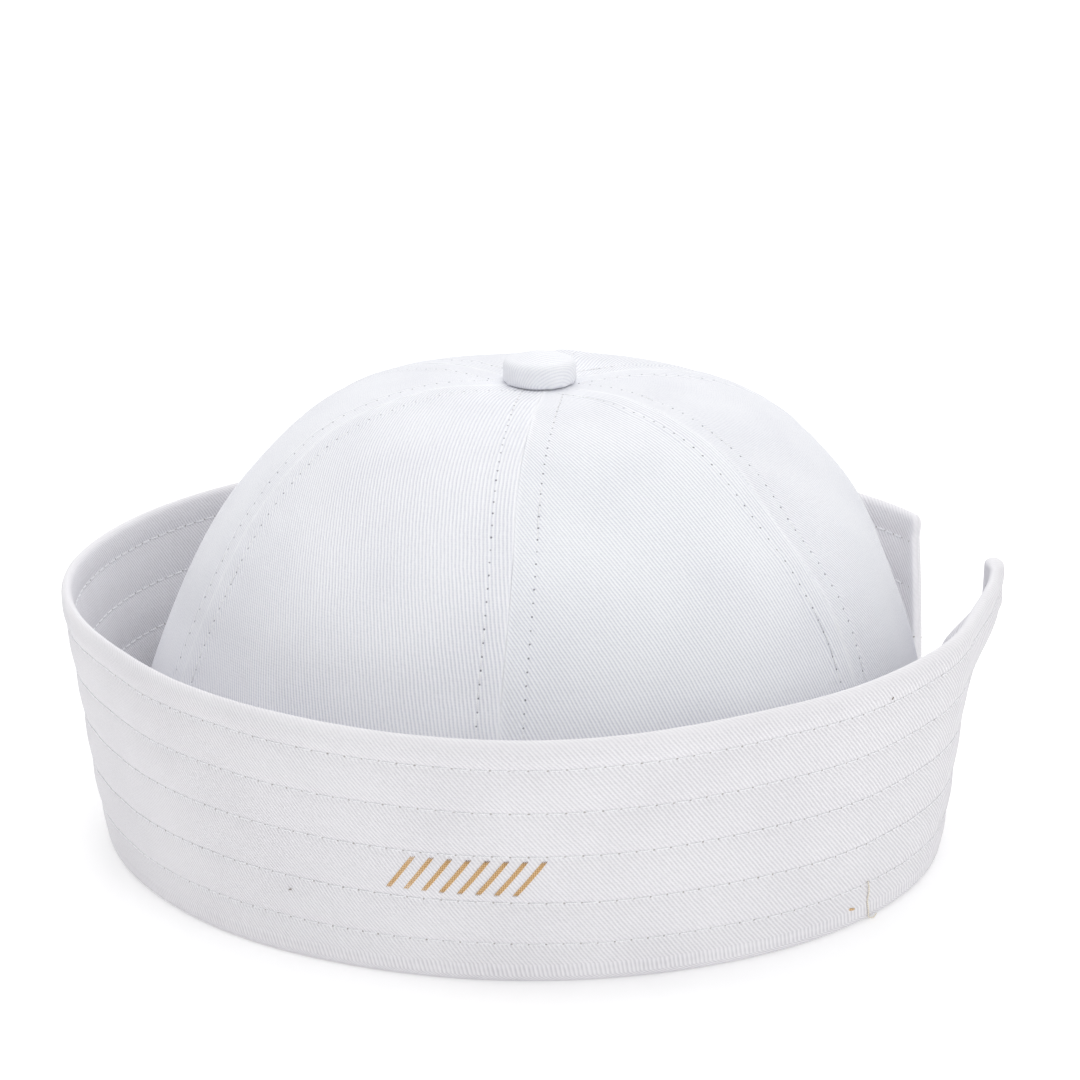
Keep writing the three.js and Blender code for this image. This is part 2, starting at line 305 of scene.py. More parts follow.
crown_pitch = 2.83 * mm           # from one needle hole of the topstitching to the next
topstitch_offset = 4.7 * mm       # from the seam to the topstitching on each side
allowance_width = 6.2 * mm        # how far the turned-in edge reaches under the gore
allowance_lift = 0.34 * mm        # how far it lifts the cloth above it
allowance_thickness = 0.55 * mm
stitch_pinch = 0.3 * mm           # how deep the topstitching draws the cloth in
stitch_groove = 0.75 * mm         # and over what width
slack_share = 0.72                # how much of that depth is left between two needle holes
pucker_height = 0.10 * mm         # small puckers beside the stitching
pucker_wave = 8 * mm
billow_height = 0.28 * mm         # broad soft unevenness all over
billow_wave = 34 * mm
relief_full = 120 * mm            # near the button, from here to relief_gone up the gore, all of this
relief_gone = 150 * mm            # fades to least_relief
least_relief = 0.35
seam_roll = 0.22 * mm             # the cloth rolls down into the seam over this width
seam_rise = 0.2 * mm              # the seam line stands this proud of the plain form
button_gap = 2.5 * mm             # the gores stop this short of the top, under the button
foot_gap = 0.3 * mm               # and start this far above the fold that they stand on
panel_top = 1 - button_gap / outline_length
panel_foot = (foot_height + foot_gap) / outline_length


def stitch_wave(along, pitch):
    """1 at a needle hole, 0 in the middle of a stitch."""
    return 0.5 + 0.5 * np.cos(2 * math.pi * along / pitch)


def gore_relief(from_seam, across, along, seed):
    """How far the outer face of a gore stands proud of the crown's plain form."""
    shown = smoothstep(along, relief_gone, relief_full)
    near_row = bell(from_seam - topstitch_offset, stitch_groove)
    proud = allowance_lift * smoothstep(from_seam, allowance_width + 0.5 * mm, allowance_width - 0.9 * mm)
    held = slack_share + (1 - slack_share) * stitch_wave(along, crown_pitch)
    proud = proud - stitch_pinch * near_row * held
    pucker = softness(0.15 * from_seam, along, seed, pucker_wave)
    proud = proud + pucker_height * pucker * bell(from_seam - topstitch_offset, 6 * mm)
    proud = proud + billow_height * softness(across, along, seed + 50, billow_wave)
    return proud * (least_relief + (1 - least_relief) * shown)


def edge_roll(from_edge, radius):
    """1 inside a sheet, falling round to 0 on its rolled edge."""
    inside = 1 - np.clip(from_edge / radius, 0, 1)
    return np.sqrt(np.clip(1 - inside * inside, 0, 1))


def edge_stretch(from_edge, radius):
    """How much further the cloth runs over a rolled edge than straight across it."""
    turn = np.arcsin(1 - np.clip(from_edge / radius, 0, 1))
    return radius * (turn - np.sin(turn))


def closed_sheet(name, outer, inner, weaves, seam):
    """A closed cloth wall from its two faces, each a grid of points that meet along their edges.
    weaves give each face's places in the cloth; seam gives their places beside its stitching and, third,
    how far the cloth is worn smooth there and how much of its painted valley shade is taken away, which
    paints it lighter there."""
    rows, columns = outer.shape[:2]
    bm = bmesh.new()
    weave_layer = bm.verts.layers.float_vector.new("weave")
    seam_layer = bm.verts.layers.float_vector.new("seam")
    for face_points, weave in zip((outer, inner), weaves):
        grid = bmesh.ops.create_grid(bm, x_segments=columns - 1, y_segments=rows - 1, size=0.5)
        spots = zip(grid["verts"], face_points.reshape(-1, 3), weave.reshape(-1, 2), seam.reshape(-1, 3))
        for vert, place, cloth, stitching in spots:
            vert.co = place
            vert[weave_layer] = (*cloth, 0)
            vert[seam_layer] = stitching
    bmesh.ops.remove_doubles(bm, verts=bm.verts, dist=0.002 * mm)
    bmesh.ops.recalc_face_normals(bm, faces=bm.faces)
    mesh = bpy.data.meshes.new(name)
    bm.to_mesh(mesh)
    bm.free()
    return mesh


def thread_bits(name, length, width, height, places, along, up, bow=0.12 * mm):
    """Many like stitches as one mesh: each a short bowed thread at its place, along and up. Their strand
    attribute runs along, across and up each thread from its middle."""
    bm = bmesh.new()
    lying = Matrix.Rotation(math.pi / 2, 4, "Y")
    bmesh.ops.create_uvsphere(bm, u_segments=6, v_segments=6, radius=0.5, matrix=lying)
    shape = np.array([v.co for v in bm.verts])
    reach = np.clip(2 * np.abs(shape[:, 0]), 0, 0.99)
    shape[:, 1:] *= np.sqrt((1 - reach ** 6) / (1 - reach ** 2))[:, None] * (reach < 0.98)[:, None]
    shape *= (length, width, height)
    shape[:, 2] -= bow * (2 * shape[:, 0] / length) ** 2
    faces = [[v.index for v in face.verts] for face in bm.faces]
    bm.free()
    up = up - (up * along).sum(-1, keepdims=True) * along
    up = up / np.linalg.norm(up, axis=-1, keepdims=True)
    side = np.cross(up, along)
    points = (places[:, None] + shape[None, :, :1] * along[:, None]
              + shape[None, :, 1:2] * side[:, None] + shape[None, :, 2:] * up[:, None])
    mesh = bpy.data.meshes.new(name)
    count = len(shape)
    mesh.from_pydata(points.reshape(-1, 3).tolist(), [],
                     [[i + k * count for i in face] for k in range(len(places)) for face in faces])
    strand = mesh.attributes.new("strand", "FLOAT_VECTOR", "POINT")
    strand.data.foreach_set("vector", np.tile(shape, (len(places), 1)).ravel())
    return mesh


def twill_cloth(name, colour, shade, wale, wale_turn, hole_rows, pitch, hole_colour):
    """Bleached cotton twill: matt, with fine slanting wales and uneven yarn, and a soft fuzz at grazing
    angles. wale is the ridges' spacing and wale_turn their slant from the grain; hole_rows are the
    stitched rows' offsets, with a needle hole every pitch."""
    material, tree, shader = new_material(name)
    yarn = 0.55 * mm                # spacing of the crossing yarns, a little coarse so that they show
    wander_size = 9 * mm            # the wales wander sideways in patches of this size
    wander_reach = 0.5 * mm
    lint_size = 0.7 * mm
    patch_size = 28 * mm            # the tone drifts in patches of this size, up or down by this share
    patch_tone = 0.12
    hole_core = 0.26 * mm           # radius of a needle hole's dark middle
    hole_rim = 0.40 * mm            # radius of its soft frayed edge
    cloth = add_node(tree, "ShaderNodeAttribute", {"attribute_name": "weave"}).outputs["Vector"]
    wander = add_node(tree, "ShaderNodeTexNoise", Vector=cloth, Scale=1 / wander_size, Detail=2.0)
    drift = add_node(tree, "ShaderNodeVectorMath", {"operation": "MULTIPLY_ADD"},
                     in0=wander.outputs["Color"], in1=(wander_reach, wander_reach, 0), in2=cloth)
    turned = add_node(tree, "ShaderNodeMapping", Vector=drift.outputs["Vector"],
                      Rotation=(0, 0, math.radians(-wale_turn)))
    wales = add_node(tree, "ShaderNodeTexWave", {"wave_type": "BANDS", "bands_direction": "X"},
                     Vector=turned.outputs["Vector"], Scale=math.pi / 10 / wale, Distortion=0.7,
                     Detail=1.0, Detail_Scale=1.3)
    crossing = add_node(tree, "ShaderNodeMapping", Vector=drift.outputs["Vector"],
                        Rotation=(0, 0, math.radians(-90)))
    yarns = add_node(tree, "ShaderNodeTexWave", {"wave_type": "BANDS", "bands_direction": "X"},
                     Vector=crossing.outputs["Vector"], Scale=math.pi / 10 / yarn, Distortion=1.6,
                     Detail=1.0, Detail_Scale=1.4)
    lint = add_node(tree, "ShaderNodeTexNoise", Vector=cloth, Scale=1 / lint_size, Detail=3.0,
                    Roughness=0.6)
    ridge = add_node(tree, "ShaderNodeMath", {"operation": "MULTIPLY_ADD"},
                     in0=yarns.outputs["Fac"], in1=0.16, in2=wales.outputs["Fac"])
    grain = add_node(tree, "ShaderNodeMath", {"operation": "MULTIPLY_ADD"},
                     in0=lint.outputs["Fac"], in1=0.7, in2=ridge.outputs["Value"])
    # Needle holes: small dark dots along the stitched rows, where the thread goes down.
    stitching = add_node(tree, "ShaderNodeAttribute", {"attribute_name": "seam"}).outputs["Vector"]
    split_seam = add_node(tree, "ShaderNodeSeparateXYZ", Vector=stitching)
    pinged = add_node(tree, "ShaderNodeMath", {"operation": "PINGPONG"},
                      in0=split_seam.outputs["Y"], in1=pitch / 2)
    near = None
    for offset in hole_rows:
        off_row = add_node(tree, "ShaderNodeMath", {"operation": "SUBTRACT"},
                           in0=split_seam.outputs["X"], in1=offset)
        off_row = add_node(tree, "ShaderNodeMath", {"operation": "ABSOLUTE"},
                           in0=off_row.outputs["Value"])
        if near is None:
            near = off_row.outputs["Value"]
        else:
            near = add_node(tree, "ShaderNodeMath", {"operation": "MINIMUM"},
                            in0=near, in1=off_row.outputs["Value"]).outputs["Value"]
    across_hole = add_node(tree, "ShaderNodeMath", {"operation": "POWER"}, in0=near, in1=2.0)
    along_hole = add_node(tree, "ShaderNodeMath", {"operation": "POWER"},
                          in0=pinged.outputs["Value"], in1=2.0)
    hole_gap = add_node(tree, "ShaderNodeMath", {"operation": "ADD"},
                        in0=across_hole.outputs["Value"], in1=along_hole.outputs["Value"])
    worn_hole = add_node(tree, "ShaderNodeMath", {"operation": "MULTIPLY_ADD"},
                         in0=lint.outputs["Fac"], in1=hole_rim ** 2, in2=hole_gap.outputs["Value"])
    hole = add_node(tree, "ShaderNodeMapRange", {"interpolation_type": "SMOOTHSTEP"},
                    Value=worn_hole.outputs["Value"], From_Min=hole_core ** 2,
                    From_Max=hole_rim ** 2, To_Min=1.0, To_Max=0.0)
    # The valleys between the wales get a little painted shade, and the cloth is never one even white.
    worn = add_node(tree, "ShaderNodeTexNoise", Vector=cloth, Scale=1 / patch_size, Detail=2.0)
    valley_shade = add_node(tree, "ShaderNodeMapRange", Value=grain.outputs["Value"],
                      From_Min=0.25, From_Max=1.35, To_Min=1.0, To_Max=0.0)
    # The seam attribute's third value lessens both the bump and the painted valley shade: the cloth is worn
    # smooth there, and painted lighter where the light catches a fold.
    relief_and_shade_kept = add_node(tree, "ShaderNodeMath", {"operation": "SUBTRACT"},
                        in0=1.0, in1=split_seam.outputs["Z"])
    valley_shade_left = add_node(tree, "ShaderNodeMath", {"operation": "MULTIPLY"},
                        in0=valley_shade.outputs["Result"], in1=relief_and_shade_kept.outputs["Value"])
    uneven = add_node(tree, "ShaderNodeMapRange", Value=worn.outputs["Fac"],
                      From_Min=0.3, From_Max=0.7, To_Min=-patch_tone, To_Max=patch_tone)
    tone = add_node(tree, "ShaderNodeMath", {"operation": "ADD", "use_clamp": True},
                    in0=valley_shade_left.outputs["Value"], in1=uneven.outputs["Result"])
    base = add_node(tree, "ShaderNodeMix", {"data_type": "RGBA"},
                    in0=tone.outputs["Value"], in6=srgb(colour), in7=srgb(shade))
    holed = add_node(tree, "ShaderNodeMix", {"data_type": "RGBA"},
                     in0=hole.outputs["Result"], in6=base.outputs[2], in7=srgb(hole_colour))
    tree.links.new(holed.outputs[2], shader.inputs["Base Color"])
    relief = add_node(tree, "ShaderNodeMath", {"operation": "MULTIPLY"},
                      in0=grain.outputs["Value"], in1=relief_and_shade_kept.outputs["Value"])
    bump = add_node(tree, "ShaderNodeBump", Height=relief.outputs["Value"], Strength=0.7,
                    Distance=0.10 * mm)
    tree.links.new(bump.outputs["Normal"], shader.inputs["Normal"])
    shader.inputs["Roughness"].default_value = 0.92
    shader.inputs["IOR"].default_value = 1.46
    shader.inputs["Specular IOR Level"].default_value = 0.2
    shader.inputs["Sheen Weight"].default_value = 0.12
    shader.inputs["Sheen Roughness"].default_value = 0.5
    return material


# Its second colour is the painted shade in the valleys between the wales.
gore_twill = twill_cloth("bleached cotton twill", "#f8f9fc", "#d9dae3", wale=0.765 * mm, wale_turn=22,
                         hole_rows=[topstitch_offset], pitch=crown_pitch, hole_colour="#7b7b84")


def spun_thread(name, shade, colour, lay, turn, roughness, gloss):
    """Spun thread: its twisted plies show as slanting bands, lay apart, with painted shade in their grooves
    and a painted highlight on their crowns, and with its own soft gloss.
    """
    material, tree, shader = new_material(name)
    place = add_node(tree, "ShaderNodeAttribute", {"attribute_name": "strand"}).outputs["Vector"]
    turned = add_node(tree, "ShaderNodeMapping", Vector=place, Rotation=(0, 0, math.radians(turn)))
    plies = add_node(tree, "ShaderNodeTexWave", {"wave_type": "BANDS", "bands_direction": "X"},
                     Vector=turned.outputs["Vector"], Scale=math.pi / 10 / lay, Distortion=0.5)
    tone = add_node(tree, "ShaderNodeMix", {"data_type": "RGBA"},
                    in0=plies.outputs["Fac"], in6=srgb(shade), in7=srgb(colour))
    tree.links.new(tone.outputs[2], shader.inputs["Base Color"])
    bump = add_node(tree, "ShaderNodeBump", Height=plies.outputs["Fac"], Strength=0.6,
                    Distance=0.08 * mm)
    tree.links.new(bump.outputs["Normal"], shader.inputs["Normal"])
    shader.inputs["Roughness"].default_value = roughness
    shader.inputs["Specular IOR Level"].default_value = gloss
    return material, tree, shader, place, tone


# White polyester sewing thread: smoother than the cloth, with its own faint gloss.
sewing_thread = spun_thread("white polyester thread", "#e9eaee", "#fbfbfd", lay=0.32 * mm, turn=35,
                            roughness=0.6, gloss=0.35)[0]

gore_rows = 150
fine_offsets = np.array([0, 0.12, 0.35, 0.8, 1.5, 2.3, 3.1, 3.7, 4.2, 4.7, 5.2, 5.7, 6.15, 6.4,
                         7.0, 7.9]) * mm
gore_middle = 30
foot_roll = 0.8 * mm              # the gore's lower edge is rounded over this length
fold_edge = 0.1 * mm              # the turned-in edge ends over twice this width
seam_wear_and_light = 0.6                   # how smooth the cloth is worn along a seam, its painted valley shade taken away, over the width below
seam_wear_and_light_width = 0.5 * mm


def gore_columns(width):
    """How far across a gore each column of points lies: fine beside the seams, even between."""
    edge = fine_offsets * min(1, width / 2 / (fine_offsets[-1] + 2 * mm))
    middle = np.linspace(edge[-1], width - edge[-1], gore_middle + 2)[1:-1]
    return np.concatenate([edge, middle, (width - edge)[::-1]])


steps = panel_foot + (panel_top - panel_foot) * np.linspace(0, 1, gore_rows)
for index, seam in enumerate(crown_seams):
    name = seam[0]
    next_seam = crown_seams[(index + 1) % len(crown_seams)]
    radius = outline_at(steps)[:, 0]
    start = seam_azimuth(seam, steps)
    end = seam_azimuth(next_seam, steps)
    end = np.where(end < start, end + 2 * math.pi, end)
    widths = (end - start) * radius
    across = np.stack([gore_columns(width) for width in widths])
    share = across / widths[:, None]
    azimuth = start[:, None] + (end - start)[:, None] * share
    step = np.repeat(steps[:, None], across.shape[1], axis=1)
    along = step * outline_length
    from_seam = np.minimum(across, widths[:, None] - across)
    from_middle = across - widths[:, None] / 2
    proud = gore_relief(from_seam, from_middle, along, 10 * index)
    roll = edge_roll(from_seam, seam_roll) * edge_roll((along - along[0, 0]) + 0.2 * mm, foot_roll)
    turned_in = smoothstep(from_seam, allowance_width + fold_edge, allowance_width - fold_edge)
    fold = allowance_thickness * turned_in
    top = crown_point(step, azimuth, -proud)
    bottom = crown_point(step, azimuth, crown_wall + fold)
    centre = crown_point(step, azimuth, -seam_rise)
    outer = centre + (top - centre) * roll[..., None]
    inner = centre + (bottom - centre) * roll[..., None]
    for edge in (np.s_[0], np.s_[-1], np.s_[:, 0], np.s_[:, -1]):
        outer[edge] = inner[edge] = centre[edge]
    weave = np.stack([from_middle, along], -1)
    seam_place = np.stack([from_seam, along, seam_wear_and_light * bell(from_seam, seam_wear_and_light_width)], -1)
    gore_mesh = closed_sheet(f"gore_{name}", outer, inner, (weave, weave), seam_place)
    gore = finish_object(f"gore_{name}", gore_mesh, gore_twill)
    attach(gore, "root")
    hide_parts(f"crown_panel_{name}")

# Topstitching beside each seam, on the face and again inside.
rows_start = 5 * crown_pitch      # the rows start this far up a gore, out of sight behind the cuff
rows_stop = 0.955 * outline_length
thread_width = 0.34 * mm
thread_height = 0.3 * mm
crown_stitch = 2.6 * mm           # the length of thread that shows between two needle holes


def unit(vectors):
    """The vectors, each at length 1."""
    return vectors / np.linalg.norm(vectors, axis=-1, keepdims=True)


def topstitch_point(seam, side, along, depth):
    """Points of the row on this side of a seam, at these lengths up the gore and this depth in it."""
    step = along / outline_length
    radius = outline_at(step)[..., 0]
    azimuth = seam_azimuth(seam, step) + side * topstitch_offset / radius
    return crown_point(step, azimuth, np.full_like(along, depth))


along = np.arange(rows_start, rows_stop, crown_pitch) + crown_pitch / 2
for face, depth, lift in (("face", 0.06 * mm, 1), ("inside", crown_wall + allowance_thickness, -1)):
    rows = []
    for seam in crown_seams:
        for side in (-1, 1):
            here = topstitch_point(seam, side, along, depth)
            ahead = topstitch_point(seam, side, along + 0.5 * mm, depth)
            out = topstitch_point(seam, side, along, depth - 1 * mm)
            rows.append((here, unit(ahead - here), lift * unit(out - here)))
    here, run, up = (np.concatenate(part) for part in zip(*rows))
    name = f"crown_topstitching_{face}"
    mesh = thread_bits(name, crown_stitch, thread_width, thread_height, here + up * 0.05 * mm, run, up)
    stitching = finish_object(name, mesh, sewing_thread)
    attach(stitching, "root")

# ---- Cuff ----
# One long band of the same twill over stiff interlining, folded at the rim, quilted in five rows and
# turned up. Its lower edge folds in under the crown; above that its two ends stand open at the side.
cuff_wall = 2.4 * mm
cuff_slant = 56.4 * mm
fold_radius = 2 * mm
crown_gap = 0.3 * mm              # between the crown's foot and the cuff
cuff_foot_radius = crown_foot_radius + crown_gap + cuff_wall
# Azimuths (degrees) of the split's foot and of its two upper corners.
split_middle = 106.4
front_corner_turn = 99.5
back_corner_turn = 118.2
corner_lean = 12                  # how far the wall leans out (degrees) at the corners, and at mid height
end_lean = 9.5
split_azimuth = math.radians(split_middle)
split_floor = 4 * mm
split_half_floor = 0.8 * mm
split_top_radius = cuff_foot_radius + cuff_slant * math.sin(math.radians(corner_lean))
front_reach = split_top_radius * math.radians(front_corner_turn - split_middle)
back_reach = split_top_radius * math.radians(back_corner_turn - split_middle)
corner_drop = 5 * mm
front_corner = 5 * mm
back_corner = 2.5 * mm
end_curl = {  # the front end curls out by reach, between two azimuths (degrees) and two distances up
    "reach": 6.8 * mm,
    "from": 71,
    "to": 102,
    "low": 34 * mm,
    "high": 47 * mm,
    "upright": 0.15,
    "rise": 1.1 * mm,
}
quilt_rows = np.array([9.1, 18.9, 29.9, 40.05, 50.1]) * mm
quilt_pitch = 3.49 * mm
quilt_pinch = 0.28 * mm
quilt_puff = 0.22 * mm
inside_puff = 0.7                 # the inside's relief, as a share of the face's
face_seed = 300
inside_seed = 400


def wall_point(azimuth, distance, depth):
    """Points of the cuff's wall: distance up it from the lower fold, depth in from its outer face."""
    lean = np.radians(round_value(1, azimuth))
    turn = np.degrees(np.angle(np.exp(1j * azimuth)))
    curl = end_curl["reach"] * smoothstep(distance, end_curl["low"], end_curl["high"])
    curl = curl - end_curl["upright"] * np.maximum(0, distance - end_curl["high"])
    near_end = smoothstep(turn, end_curl["from"], end_curl["to"])
    near_end = near_end * (turn < math.degrees(split_azimuth) + 0.01)
    curl = curl * near_end
    distance = distance + end_curl["rise"] * near_end * smoothstep(distance, end_curl["low"], cuff_slant)
    foot = cuff_foot_radius + round_value(2, azimuth) * mm + curl
    radius = foot + np.sin(lean) * distance - np.cos(lean) * depth
    return on_base(radius, azimuth, np.cos(lean) * distance + np.sin(lean) * depth)


def quilting(distance, around, seed):
    """How far the wadded cloth stands proud (or is pinched in) between and at its stitched rows."""
    ends = np.concatenate([[0], quilt_rows, [cuff_slant]])
    room = np.interp(distance, ends, np.arange(len(ends)))
    between = np.sin(math.pi * (room % 1)) ** 2
    gap = np.abs(distance[..., None] - quilt_rows).min(-1)
    free = smoothstep(distance, 1 * mm, 6 * mm) * smoothstep(cuff_slant - distance, 0, 4 * mm)
    proud = quilt_puff * between * free
    proud = proud - quilt_pinch * bell(gap, 0.8 * mm) * (0.75 + 0.25 * stitch_wave(around, quilt_pitch))
    pucker = softness(around, 0.2 * distance, seed, 9 * mm)
    proud = proud + 0.11 * mm * pucker * (0.4 + 0.6 * bell(gap, 4 * mm))
    broad = softness(around, distance, seed + 7, 45 * mm)
    return proud + 0.25 * mm * broad * smoothstep(distance, 2 * mm, 12 * mm)


def end_offset(height, reach, corner):
    """How far from the split's middle a cuff end stands at this height, its top corner rounded off."""
    side = math.copysign(1, reach)
    straight = split_half_floor + (abs(reach) - split_half_floor) * (height - split_floor) / (
        cuff_slant - corner_drop - split_floor)
    straight = np.clip(straight, 0, None) * (height > split_floor)
    t = np.clip((height - (cuff_slant - corner_drop)) / corner_drop, 0, 1)
    return side * np.where(t > 0, abs(reach) + corner * (1 - np.sqrt(1 - t * t * 0.97)), straight)


hem_width = 7 * mm                # the front end is turned in and sewn down this wide
hem_lift = 1.0 * mm
rim_roll = 1.7 * mm
# Towards the curled end, between these azimuths, the cloth is drawn askew: its weave runs this much
# slower round the cuff and this much faster up it.
drawn_from = math.radians(5)
drawn_to = math.radians(60)
drawn_slip = 0.31
drawn_rise = 0.16
rim_offsets = np.array([2.6, 1.9, 1.3, 0.9, 0.55, 0.3, 0.12, 0.02, 0]) * mm
end_offsets = rim_offsets[::-1]
wall_rows = np.concatenate([np.linspace(4.4 * mm, cuff_slant - 3.3 * mm, 64), cuff_slant - rim_offsets])
fold_rows = 8
foot_rows = 6
cuff_columns = 452
mean_length = 2 * math.pi * (cuff_foot_radius + 5 * mm)     # its girth at mid height

row_count = foot_rows + fold_rows + len(wall_rows)
distances = np.concatenate([np.zeros(foot_rows + fold_rows), wall_rows])
end_radius = cuff_foot_radius + round_value(2, np.array(split_azimuth)) * mm
end_radius = end_radius + distances * math.sin(math.radians(end_lean))
front_end = split_azimuth + np.arcsin(end_offset(distances, front_reach, front_corner) / end_radius)
back_end = split_azimuth + np.arcsin(end_offset(distances, back_reach, back_corner) / end_radius)
back_end = back_end - 2 * math.pi
spans = (front_end - back_end) * end_radius
around = np.stack([
    np.concatenate([
        end_offsets,
        np.linspace(end_offsets[-1], span - end_offsets[-1], cuff_columns + 2)[1:-1],
        (span - end_offsets)[::-1],
    ]) for span in spans])
azimuth = back_end[:, None] + (front_end - back_end)[:, None] * around / spans[:, None]
cloth_around = (azimuth + 2 * math.pi) * mean_length / (2 * math.pi)
azimuth = np.where(azimuth < -math.pi, azimuth + 2 * math.pi, azimuth)
distance = np.repeat(distances[:, None], azimuth.shape[1], axis=1)
wall = slice(foot_rows + fold_rows, row_count)

outer = np.zeros((*azimuth.shape, 3))
inner = np.zeros((*azimuth.shape, 3))
relief_out = quilting(distance[wall], cloth_around[wall], face_seed)
relief_in = inside_puff * quilting(distance[wall], cloth_around[wall], inside_seed)
from_end = np.minimum(around, spans[:, None] - around)
from_end = np.where(distance > split_floor, from_end, np.hypot(from_end, split_floor - distance))
at_front = around > spans[:, None] / 2
end_roll = np.where(at_front, 2.0 * mm, 0.8 * mm)
even_end = smoothstep(from_end[wall], 0.5 * mm, 7 * mm)
hem = hem_lift * smoothstep(from_end[wall], hem_width + 3 * mm, hem_width - 3 * mm) * at_front[wall]
hem = hem * smoothstep(distance[wall], split_floor, 20 * mm)
outer[wall] = wall_point(azimuth[wall], distance[wall], -relief_out * even_end - hem)
inner[wall] = wall_point(azimuth[wall], distance[wall], cuff_wall + relief_in * even_end + hem)
rise = round_value(2, azimuth[0]) * mm
lean = np.radians(round_value(1, azimuth[0]))
fold_start = cuff_foot_radius + rise + fold_radius * np.sin(lean) - fold_radius * np.cos(lean)
mouth_edge = inner_radius + rise
fold_end = cuff_foot_radius + rise - cuff_wall - crown_gap
level = 0 * rise
for row in range(foot_rows):
    reach = (row / foot_rows) ** 0.8
    outer[row] = on_base(mouth_edge + (fold_start - mouth_edge) * reach, azimuth[row], level)
    inner[row] = on_base(mouth_edge + (fold_end - mouth_edge) * reach, azimuth[row], level + foot_height)
corner = wall_point(azimuth[0], np.full_like(rise, foot_height + 0.6 * mm), np.full_like(rise, cuff_wall))
for k in range(fold_rows):
    row = foot_rows + k
    turn = -math.pi / 2 + (math.pi / 2 - lean) * k / (fold_rows - 1)
    outer[row] = on_base(fold_start + fold_radius * np.cos(turn), azimuth[row],
                         fold_radius * (1 + np.sin(turn)))
    bend = k / (fold_rows - 1)
    flat_end = on_base(fold_end, azimuth[row], level + foot_height)
    inner[row] = flat_end + (corner - flat_end) * bend
centre = (outer + inner) / 2
roll = edge_roll(from_end, end_roll) * edge_roll(cuff_slant - distance, rim_roll)
foot_along = np.clip(np.arange(row_count) / foot_rows, 0, 1)[:, None] * 3 * mm
roll = roll * edge_roll(foot_along + 0.02 * mm, 0.9 * mm)
outer = centre + (outer - centre) * roll[..., None]
inner = centre + (inner - centre) * roll[..., None]
outer[0] = inner[0] = centre[0]
outer[-1] = inner[-1] = centre[-1]
standing = distances > split_floor
for column in (0, -1):
    outer[standing, column] = centre[standing, column]
    inner[standing, column] = centre[standing, column]
cloth_up = distance.copy()
cloth_up[:foot_rows + fold_rows] = np.linspace(-6 * mm, 3.7 * mm, foot_rows + fold_rows)[:, None]
draw = np.clip((azimuth - drawn_from) / (drawn_to - drawn_from), 0, 1)
slip = (drawn_to - drawn_from) * (draw ** 3 - draw ** 4 / 2) + np.maximum(0, azimuth - drawn_to)
drawn_along = cloth_around - drawn_slip * slip * mean_length / (2 * math.pi)
drawn_up = cloth_up * (1 + drawn_rise * smoothstep(azimuth, drawn_from, drawn_to))
cloth_along = drawn_along + np.where(at_front, 1, -1) * edge_stretch(from_end, end_roll)
cloth_rise = drawn_up + edge_stretch(cuff_slant - distance, rim_roll)
# The cloth is worn smooth along the rim, and more so along its two ends, and there its painted valley shade
# is taken away too: the rim gets a painted highlight where the light catches the fold.
fold_wear_and_light = 0.55 * bell(cuff_slant - distance, 1.3 * mm)
fold_wear_and_light = fold_wear_and_light + 0.8 * bell(from_end, 1.8 * mm) * standing[:, None]
cuff_seam = np.stack([cloth_up, cloth_around, np.clip(fold_wear_and_light, 0, 0.85)], -1)
cuff_weaves = (
    np.stack([cloth_along, cloth_rise], -1),
    np.stack([cloth_along, 2 * cloth_rise[-1:] - cloth_rise], -1),
)
# Its second colour is the painted shade in the valleys between the wales.
cuff_twill = twill_cloth("bleached cotton twill, quilted", "#efeef1", "#d3d1d6", wale=0.72 * mm,
                         wale_turn=38, hole_rows=list(quilt_rows), pitch=quilt_pitch,
                         hole_colour="#a5a19e")
cuff_mesh = closed_sheet("turned_up_cuff", outer, inner, cuff_weaves, cuff_seam)
cuff = finish_object("turned_up_cuff", cuff_mesh, cuff_twill)
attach(cuff, "root")
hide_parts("cuff")

# Quilting stitches in the five rows, on the face and again inside.
cuff_stitch = 3.2 * mm
end_margin = 2.2                  # the rows stop this many degrees short of the cuff's ends
for face, depth, lift, seed, puff in (("face", 0.0, 1, face_seed, 1),
                                      ("inside", cuff_wall, -1, inside_seed, inside_puff)):
    rows = []
    for quilt_row in quilt_rows:
        back = math.degrees(float(np.interp(quilt_row, distances, back_end))) + end_margin
        front = math.degrees(float(np.interp(quilt_row, distances, front_end))) - end_margin
        low = math.radians(back) * mean_length / (2 * math.pi) + mean_length
        high = math.radians(front) * mean_length / (2 * math.pi) + mean_length
        cloth = np.arange(math.ceil(low / quilt_pitch), math.floor(high / quilt_pitch))
        cloth = (cloth + 0.5) * quilt_pitch
        turn = cloth / mean_length * 2 * math.pi - 2 * math.pi
        up_wall = np.full_like(turn, quilt_row)
        depths = depth - lift * puff * quilting(up_wall, cloth, seed)
        here = wall_point(turn, up_wall, depths)
        ahead = wall_point(turn + 0.005, up_wall, depths)
        out = wall_point(turn, up_wall, depths - 1 * mm)
        rows.append((here, unit(ahead - here), lift * unit(out - here)))
    here, run, up = (np.concatenate(part) for part in zip(*rows))
    name = f"cuff_quilting_{face}"
    mesh = thread_bits(name, cuff_stitch, thread_width, thread_height, here + up * 0.07 * mm, run, up)
    stitching = finish_object(name, mesh, sewing_thread)
    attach(stitching, "root")

